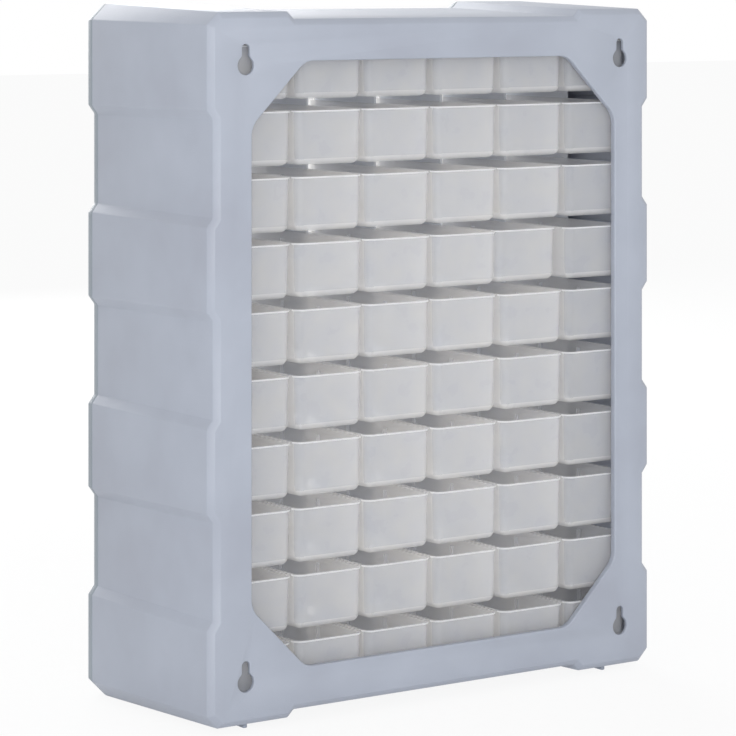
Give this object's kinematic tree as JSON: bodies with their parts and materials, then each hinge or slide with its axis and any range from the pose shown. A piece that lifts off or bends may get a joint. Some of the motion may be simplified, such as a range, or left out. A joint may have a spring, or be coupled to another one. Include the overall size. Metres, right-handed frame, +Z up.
{
  "type": "parts bin cabinet",
  "caption": "Upright plastic parts cabinet with rows of clear pull-out drawers in a moulded shell, open at the back, with keyholes for hanging on a wall.",
  "frame": {"origin": "middle of the footprint, on the surface that the cabinet stands on", "axes": "+Z up, drawer fronts face -Y, open back faces +Y"},
  "size_m": [0.38, 0.1686, 0.475],
  "materials": {
    "housing_plastic": "fine-grained moulded polypropylene, light blue-grey",
    "frame_plastic": "fine-grained moulded polypropylene, slightly darker blue-grey",
    "grid_plastic": "moulded polypropylene, blue-grey",
    "drawer_plastic": "natural translucent polypropylene, smooth and milky"
  },
  "bodies": {
    "cabinet": {"housing": "housing_plastic", "front_frame": "frame_plastic", "drawer_grid": "grid_plastic"},
    "drawer_r01_c1": {"drawer_r01_c1": "drawer_plastic"},
    "drawer_r01_c2": {"drawer_r01_c2": "drawer_plastic"},
    "drawer_r01_c3": {"drawer_r01_c3": "drawer_plastic"},
    "drawer_r01_c4": {"drawer_r01_c4": "drawer_plastic"},
    "drawer_r01_c5": {"drawer_r01_c5": "drawer_plastic"},
    "drawer_r01_c6": {"drawer_r01_c6": "drawer_plastic"},
    "drawer_r02_c1": {"drawer_r02_c1": "drawer_plastic"},
    "drawer_r02_c2": {"drawer_r02_c2": "drawer_plastic"},
    "drawer_r02_c3": {"drawer_r02_c3": "drawer_plastic"},
    "drawer_r02_c4": {"drawer_r02_c4": "drawer_plastic"},
    "drawer_r02_c5": {"drawer_r02_c5": "drawer_plastic"},
    "drawer_r02_c6": {"drawer_r02_c6": "drawer_plastic"},
    "drawer_r03_c1": {"drawer_r03_c1": "drawer_plastic"},
    "drawer_r03_c2": {"drawer_r03_c2": "drawer_plastic"},
    "drawer_r03_c3": {"drawer_r03_c3": "drawer_plastic"},
    "drawer_r03_c4": {"drawer_r03_c4": "drawer_plastic"},
    "drawer_r03_c5": {"drawer_r03_c5": "drawer_plastic"},
    "drawer_r03_c6": {"drawer_r03_c6": "drawer_plastic"},
    "drawer_r04_c1": {"drawer_r04_c1": "drawer_plastic"},
    "drawer_r04_c2": {"drawer_r04_c2": "drawer_plastic"},
    "drawer_r04_c3": {"drawer_r04_c3": "drawer_plastic"},
    "drawer_r04_c4": {"drawer_r04_c4": "drawer_plastic"},
    "drawer_r04_c5": {"drawer_r04_c5": "drawer_plastic"},
    "drawer_r04_c6": {"drawer_r04_c6": "drawer_plastic"},
    "drawer_r05_c1": {"drawer_r05_c1": "drawer_plastic"},
    "drawer_r05_c2": {"drawer_r05_c2": "drawer_plastic"},
    "drawer_r05_c3": {"drawer_r05_c3": "drawer_plastic"},
    "drawer_r05_c4": {"drawer_r05_c4": "drawer_plastic"},
    "drawer_r05_c5": {"drawer_r05_c5": "drawer_plastic"},
    "drawer_r05_c6": {"drawer_r05_c6": "drawer_plastic"},
    "drawer_r06_c1": {"drawer_r06_c1": "drawer_plastic"},
    "drawer_r06_c2": {"drawer_r06_c2": "drawer_plastic"},
    "drawer_r06_c3": {"drawer_r06_c3": "drawer_plastic"},
    "drawer_r06_c4": {"drawer_r06_c4": "drawer_plastic"},
    "drawer_r06_c5": {"drawer_r06_c5": "drawer_plastic"},
    "drawer_r06_c6": {"drawer_r06_c6": "drawer_plastic"},
    "drawer_r07_c1": {"drawer_r07_c1": "drawer_plastic"},
    "drawer_r07_c2": {"drawer_r07_c2": "drawer_plastic"},
    "drawer_r07_c3": {"drawer_r07_c3": "drawer_plastic"},
    "drawer_r07_c4": {"drawer_r07_c4": "drawer_plastic"},
    "drawer_r07_c5": {"drawer_r07_c5": "drawer_plastic"},
    "drawer_r07_c6": {"drawer_r07_c6": "drawer_plastic"},
    "drawer_r08_c1": {"drawer_r08_c1": "drawer_plastic"},
    "drawer_r08_c2": {"drawer_r08_c2": "drawer_plastic"},
    "drawer_r08_c3": {"drawer_r08_c3": "drawer_plastic"},
    "drawer_r08_c4": {"drawer_r08_c4": "drawer_plastic"},
    "drawer_r08_c5": {"drawer_r08_c5": "drawer_plastic"},
    "drawer_r08_c6": {"drawer_r08_c6": "drawer_plastic"},
    "drawer_r09_c1": {"drawer_r09_c1": "drawer_plastic"},
    "drawer_r09_c2": {"drawer_r09_c2": "drawer_plastic"},
    "drawer_r09_c3": {"drawer_r09_c3": "drawer_plastic"},
    "drawer_r09_c4": {"drawer_r09_c4": "drawer_plastic"},
    "drawer_r09_c5": {"drawer_r09_c5": "drawer_plastic"},
    "drawer_r09_c6": {"drawer_r09_c6": "drawer_plastic"},
    "drawers_r10_c1_c2": {"drawers_r10_c1_c2": "drawer_plastic"},
    "drawers_r10_c3_c4": {"drawers_r10_c3_c4": "drawer_plastic"},
    "drawers_r10_c5_c6": {"drawers_r10_c5_c6": "drawer_plastic"}
  },
  "joints": [
    {"name": "slide_r01_c1", "type": "slide", "parent": "cabinet", "child": "drawer_r01_c1", "axis": [0, -1, 0], "range_m": [-0.00176, 0.11824]},
    {"name": "slide_r01_c2", "type": "slide", "parent": "cabinet", "child": "drawer_r01_c2", "axis": [0, -1, 0], "range_m": [-0.00127, 0.11873]},
    {"name": "slide_r01_c3", "type": "slide", "parent": "cabinet", "child": "drawer_r01_c3", "axis": [0, -1, 0], "range_m": [-0.00157, 0.11843]},
    {"name": "slide_r01_c4", "type": "slide", "parent": "cabinet", "child": "drawer_r01_c4", "axis": [0, -1, 0], "range_m": [-0.00216, 0.11784]},
    {"name": "slide_r01_c5", "type": "slide", "parent": "cabinet", "child": "drawer_r01_c5", "axis": [0, -1, 0], "range_m": [-0.00046, 0.11954]},
    {"name": "slide_r01_c6", "type": "slide", "parent": "cabinet", "child": "drawer_r01_c6", "axis": [0, -1, 0], "range_m": [-0.00027, 0.11973]},
    {"name": "slide_r02_c1", "type": "slide", "parent": "cabinet", "child": "drawer_r02_c1", "axis": [0, -1, 0], "range_m": [-0.00145, 0.11855]},
    {"name": "slide_r02_c2", "type": "slide", "parent": "cabinet", "child": "drawer_r02_c2", "axis": [0, -1, 0], "range_m": [-0.00162, 0.11838]},
    {"name": "slide_r02_c3", "type": "slide", "parent": "cabinet", "child": "drawer_r02_c3", "axis": [0, -1, 0], "range_m": [-0.00153, 0.11847]},
    {"name": "slide_r02_c4", "type": "slide", "parent": "cabinet", "child": "drawer_r02_c4", "axis": [0, -1, 0], "range_m": [-0.00186, 0.11814]},
    {"name": "slide_r02_c5", "type": "slide", "parent": "cabinet", "child": "drawer_r02_c5", "axis": [0, -1, 0], "range_m": [-0.00081, 0.11919]},
    {"name": "slide_r02_c6", "type": "slide", "parent": "cabinet", "child": "drawer_r02_c6", "axis": [0, -1, 0], "range_m": [-0.00023, 0.11977]},
    {"name": "slide_r03_c1", "type": "slide", "parent": "cabinet", "child": "drawer_r03_c1", "axis": [0, -1, 0], "range_m": [-0.0011, 0.1189]},
    {"name": "slide_r03_c2", "type": "slide", "parent": "cabinet", "child": "drawer_r03_c2", "axis": [0, -1, 0], "range_m": [-0.00168, 0.11832]},
    {"name": "slide_r03_c3", "type": "slide", "parent": "cabinet", "child": "drawer_r03_c3", "axis": [0, -1, 0], "range_m": [-0.00182, 0.11818]},
    {"name": "slide_r03_c4", "type": "slide", "parent": "cabinet", "child": "drawer_r03_c4", "axis": [0, -1, 0], "range_m": [-0.0015, 0.1185]},
    {"name": "slide_r03_c5", "type": "slide", "parent": "cabinet", "child": "drawer_r03_c5", "axis": [0, -1, 0], "range_m": [-0.00088, 0.11912]},
    {"name": "slide_r03_c6", "type": "slide", "parent": "cabinet", "child": "drawer_r03_c6", "axis": [0, -1, 0], "range_m": [-0.00051, 0.11949]},
    {"name": "slide_r04_c1", "type": "slide", "parent": "cabinet", "child": "drawer_r04_c1", "axis": [0, -1, 0], "range_m": [-0.00101, 0.11899]},
    {"name": "slide_r04_c2", "type": "slide", "parent": "cabinet", "child": "drawer_r04_c2", "axis": [0, -1, 0], "range_m": [-0.0085, 0.1115]},
    {"name": "slide_r04_c3", "type": "slide", "parent": "cabinet", "child": "drawer_r04_c3", "axis": [0, -1, 0], "range_m": [-0.00218, 0.11782]},
    {"name": "slide_r04_c4", "type": "slide", "parent": "cabinet", "child": "drawer_r04_c4", "axis": [0, -1, 0], "range_m": [-0.00141, 0.11859]},
    {"name": "slide_r04_c5", "type": "slide", "parent": "cabinet", "child": "drawer_r04_c5", "axis": [0, -1, 0], "range_m": [-0.00061, 0.11939]},
    {"name": "slide_r04_c6", "type": "slide", "parent": "cabinet", "child": "drawer_r04_c6", "axis": [0, -1, 0], "range_m": [-0.00087, 0.11913]},
    {"name": "slide_r05_c1", "type": "slide", "parent": "cabinet", "child": "drawer_r05_c1", "axis": [0, -1, 0], "range_m": [-0.00127, 0.11873]},
    {"name": "slide_r05_c2", "type": "slide", "parent": "cabinet", "child": "drawer_r05_c2", "axis": [0, -1, 0], "range_m": [-0.00104, 0.11896]},
    {"name": "slide_r05_c3", "type": "slide", "parent": "cabinet", "child": "drawer_r05_c3", "axis": [0, -1, 0], "range_m": [-0.00229, 0.11771]},
    {"name": "slide_r05_c4", "type": "slide", "parent": "cabinet", "child": "drawer_r05_c4", "axis": [0, -1, 0], "range_m": [-0.00167, 0.11833]},
    {"name": "slide_r05_c5", "type": "slide", "parent": "cabinet", "child": "drawer_r05_c5", "axis": [0, -1, 0], "range_m": [-0.00024, 0.11976]},
    {"name": "slide_r05_c6", "type": "slide", "parent": "cabinet", "child": "drawer_r05_c6", "axis": [0, -1, 0], "range_m": [-0.00099, 0.11901]},
    {"name": "slide_r06_c1", "type": "slide", "parent": "cabinet", "child": "drawer_r06_c1", "axis": [0, -1, 0], "range_m": [-0.00164, 0.11836]},
    {"name": "slide_r06_c2", "type": "slide", "parent": "cabinet", "child": "drawer_r06_c2", "axis": [0, -1, 0], "range_m": [-0.0009, 0.1191]},
    {"name": "slide_r06_c3", "type": "slide", "parent": "cabinet", "child": "drawer_r06_c3", "axis": [0, -1, 0], "range_m": [-0.00206, 0.11794]},
    {"name": "slide_r06_c4", "type": "slide", "parent": "cabinet", "child": "drawer_r06_c4", "axis": [0, -1, 0], "range_m": [-0.00204, 0.11796]},
    {"name": "slide_r06_c5", "type": "slide", "parent": "cabinet", "child": "drawer_r06_c5", "axis": [0, -1, 0], "range_m": [-0.0001, 0.1199]},
    {"name": "slide_r06_c6", "type": "slide", "parent": "cabinet", "child": "drawer_r06_c6", "axis": [0, -1, 0], "range_m": [-0.00076, 0.11924]},
    {"name": "slide_r07_c1", "type": "slide", "parent": "cabinet", "child": "drawer_r07_c1", "axis": [0, -1, 0], "range_m": [-0.0018, 0.1182]},
    {"name": "slide_r07_c2", "type": "slide", "parent": "cabinet", "child": "drawer_r07_c2", "axis": [0, -1, 0], "range_m": [-0.00112, 0.11888]},
    {"name": "slide_r07_c3", "type": "slide", "parent": "cabinet", "child": "drawer_r07_c3", "axis": [0, -1, 0], "range_m": [-0.00168, 0.11832]},
    {"name": "slide_r07_c4", "type": "slide", "parent": "cabinet", "child": "drawer_r07_c4", "axis": [0, -1, 0], "range_m": [-0.0022, 0.1178]},
    {"name": "slide_r07_c5", "type": "slide", "parent": "cabinet", "child": "drawer_r07_c5", "axis": [0, -1, 0], "range_m": [-0.00032, 0.11968]},
    {"name": "slide_r07_c6", "type": "slide", "parent": "cabinet", "child": "drawer_r07_c6", "axis": [0, -1, 0], "range_m": [-0.00039, 0.11961]},
    {"name": "slide_r08_c1", "type": "slide", "parent": "cabinet", "child": "drawer_r08_c1", "axis": [0, -1, 0], "range_m": [-0.0016, 0.1184]},
    {"name": "slide_r08_c2", "type": "slide", "parent": "cabinet", "child": "drawer_r08_c2", "axis": [0, -1, 0], "range_m": [-0.0015, 0.1185]},
    {"name": "slide_r08_c3", "type": "slide", "parent": "cabinet", "child": "drawer_r08_c3", "axis": [0, -1, 0], "range_m": [-0.0015, 0.1185]},
    {"name": "slide_r08_c4", "type": "slide", "parent": "cabinet", "child": "drawer_r08_c4", "axis": [0, -1, 0], "range_m": [-0.002, 0.118]},
    {"name": "slide_r08_c5", "type": "slide", "parent": "cabinet", "child": "drawer_r08_c5", "axis": [0, -1, 0], "range_m": [-0.00069, 0.11931]},
    {"name": "slide_r08_c6", "type": "slide", "parent": "cabinet", "child": "drawer_r08_c6", "axis": [0, -1, 0], "range_m": [-0.0002, 0.1198]},
    {"name": "slide_r09_c1", "type": "slide", "parent": "cabinet", "child": "drawer_r09_c1", "axis": [0, -1, 0], "range_m": [-0.00122, 0.11878]},
    {"name": "slide_r09_c2", "type": "slide", "parent": "cabinet", "child": "drawer_r09_c2", "axis": [0, -1, 0], "range_m": [-0.0017, 0.1183]},
    {"name": "slide_r09_c3", "type": "slide", "parent": "cabinet", "child": "drawer_r09_c3", "axis": [0, -1, 0], "range_m": [-0.00168, 0.11832]},
    {"name": "slide_r09_c4", "type": "slide", "parent": "cabinet", "child": "drawer_r09_c4", "axis": [0, -1, 0], "range_m": [-0.00163, 0.11837]},
    {"name": "slide_r09_c5", "type": "slide", "parent": "cabinet", "child": "drawer_r09_c5", "axis": [0, -1, 0], "range_m": [-0.0009, 0.1191]},
    {"name": "slide_r09_c6", "type": "slide", "parent": "cabinet", "child": "drawer_r09_c6", "axis": [0, -1, 0], "range_m": [-0.00037, 0.11963]},
    {"name": "slide_r10_c1_c2", "type": "slide", "parent": "cabinet", "child": "drawers_r10_c1_c2", "axis": [0, -1, 0], "range_m": [-0.001, 0.119]},
    {"name": "slide_r10_c3_c4", "type": "slide", "parent": "cabinet", "child": "drawers_r10_c3_c4", "axis": [0, -1, 0], "range_m": [-0.00205, 0.11795]},
    {"name": "slide_r10_c5_c6", "type": "slide", "parent": "cabinet", "child": "drawers_r10_c5_c6", "axis": [0, -1, 0], "range_m": [-0.00075, 0.11925]}
  ]
}
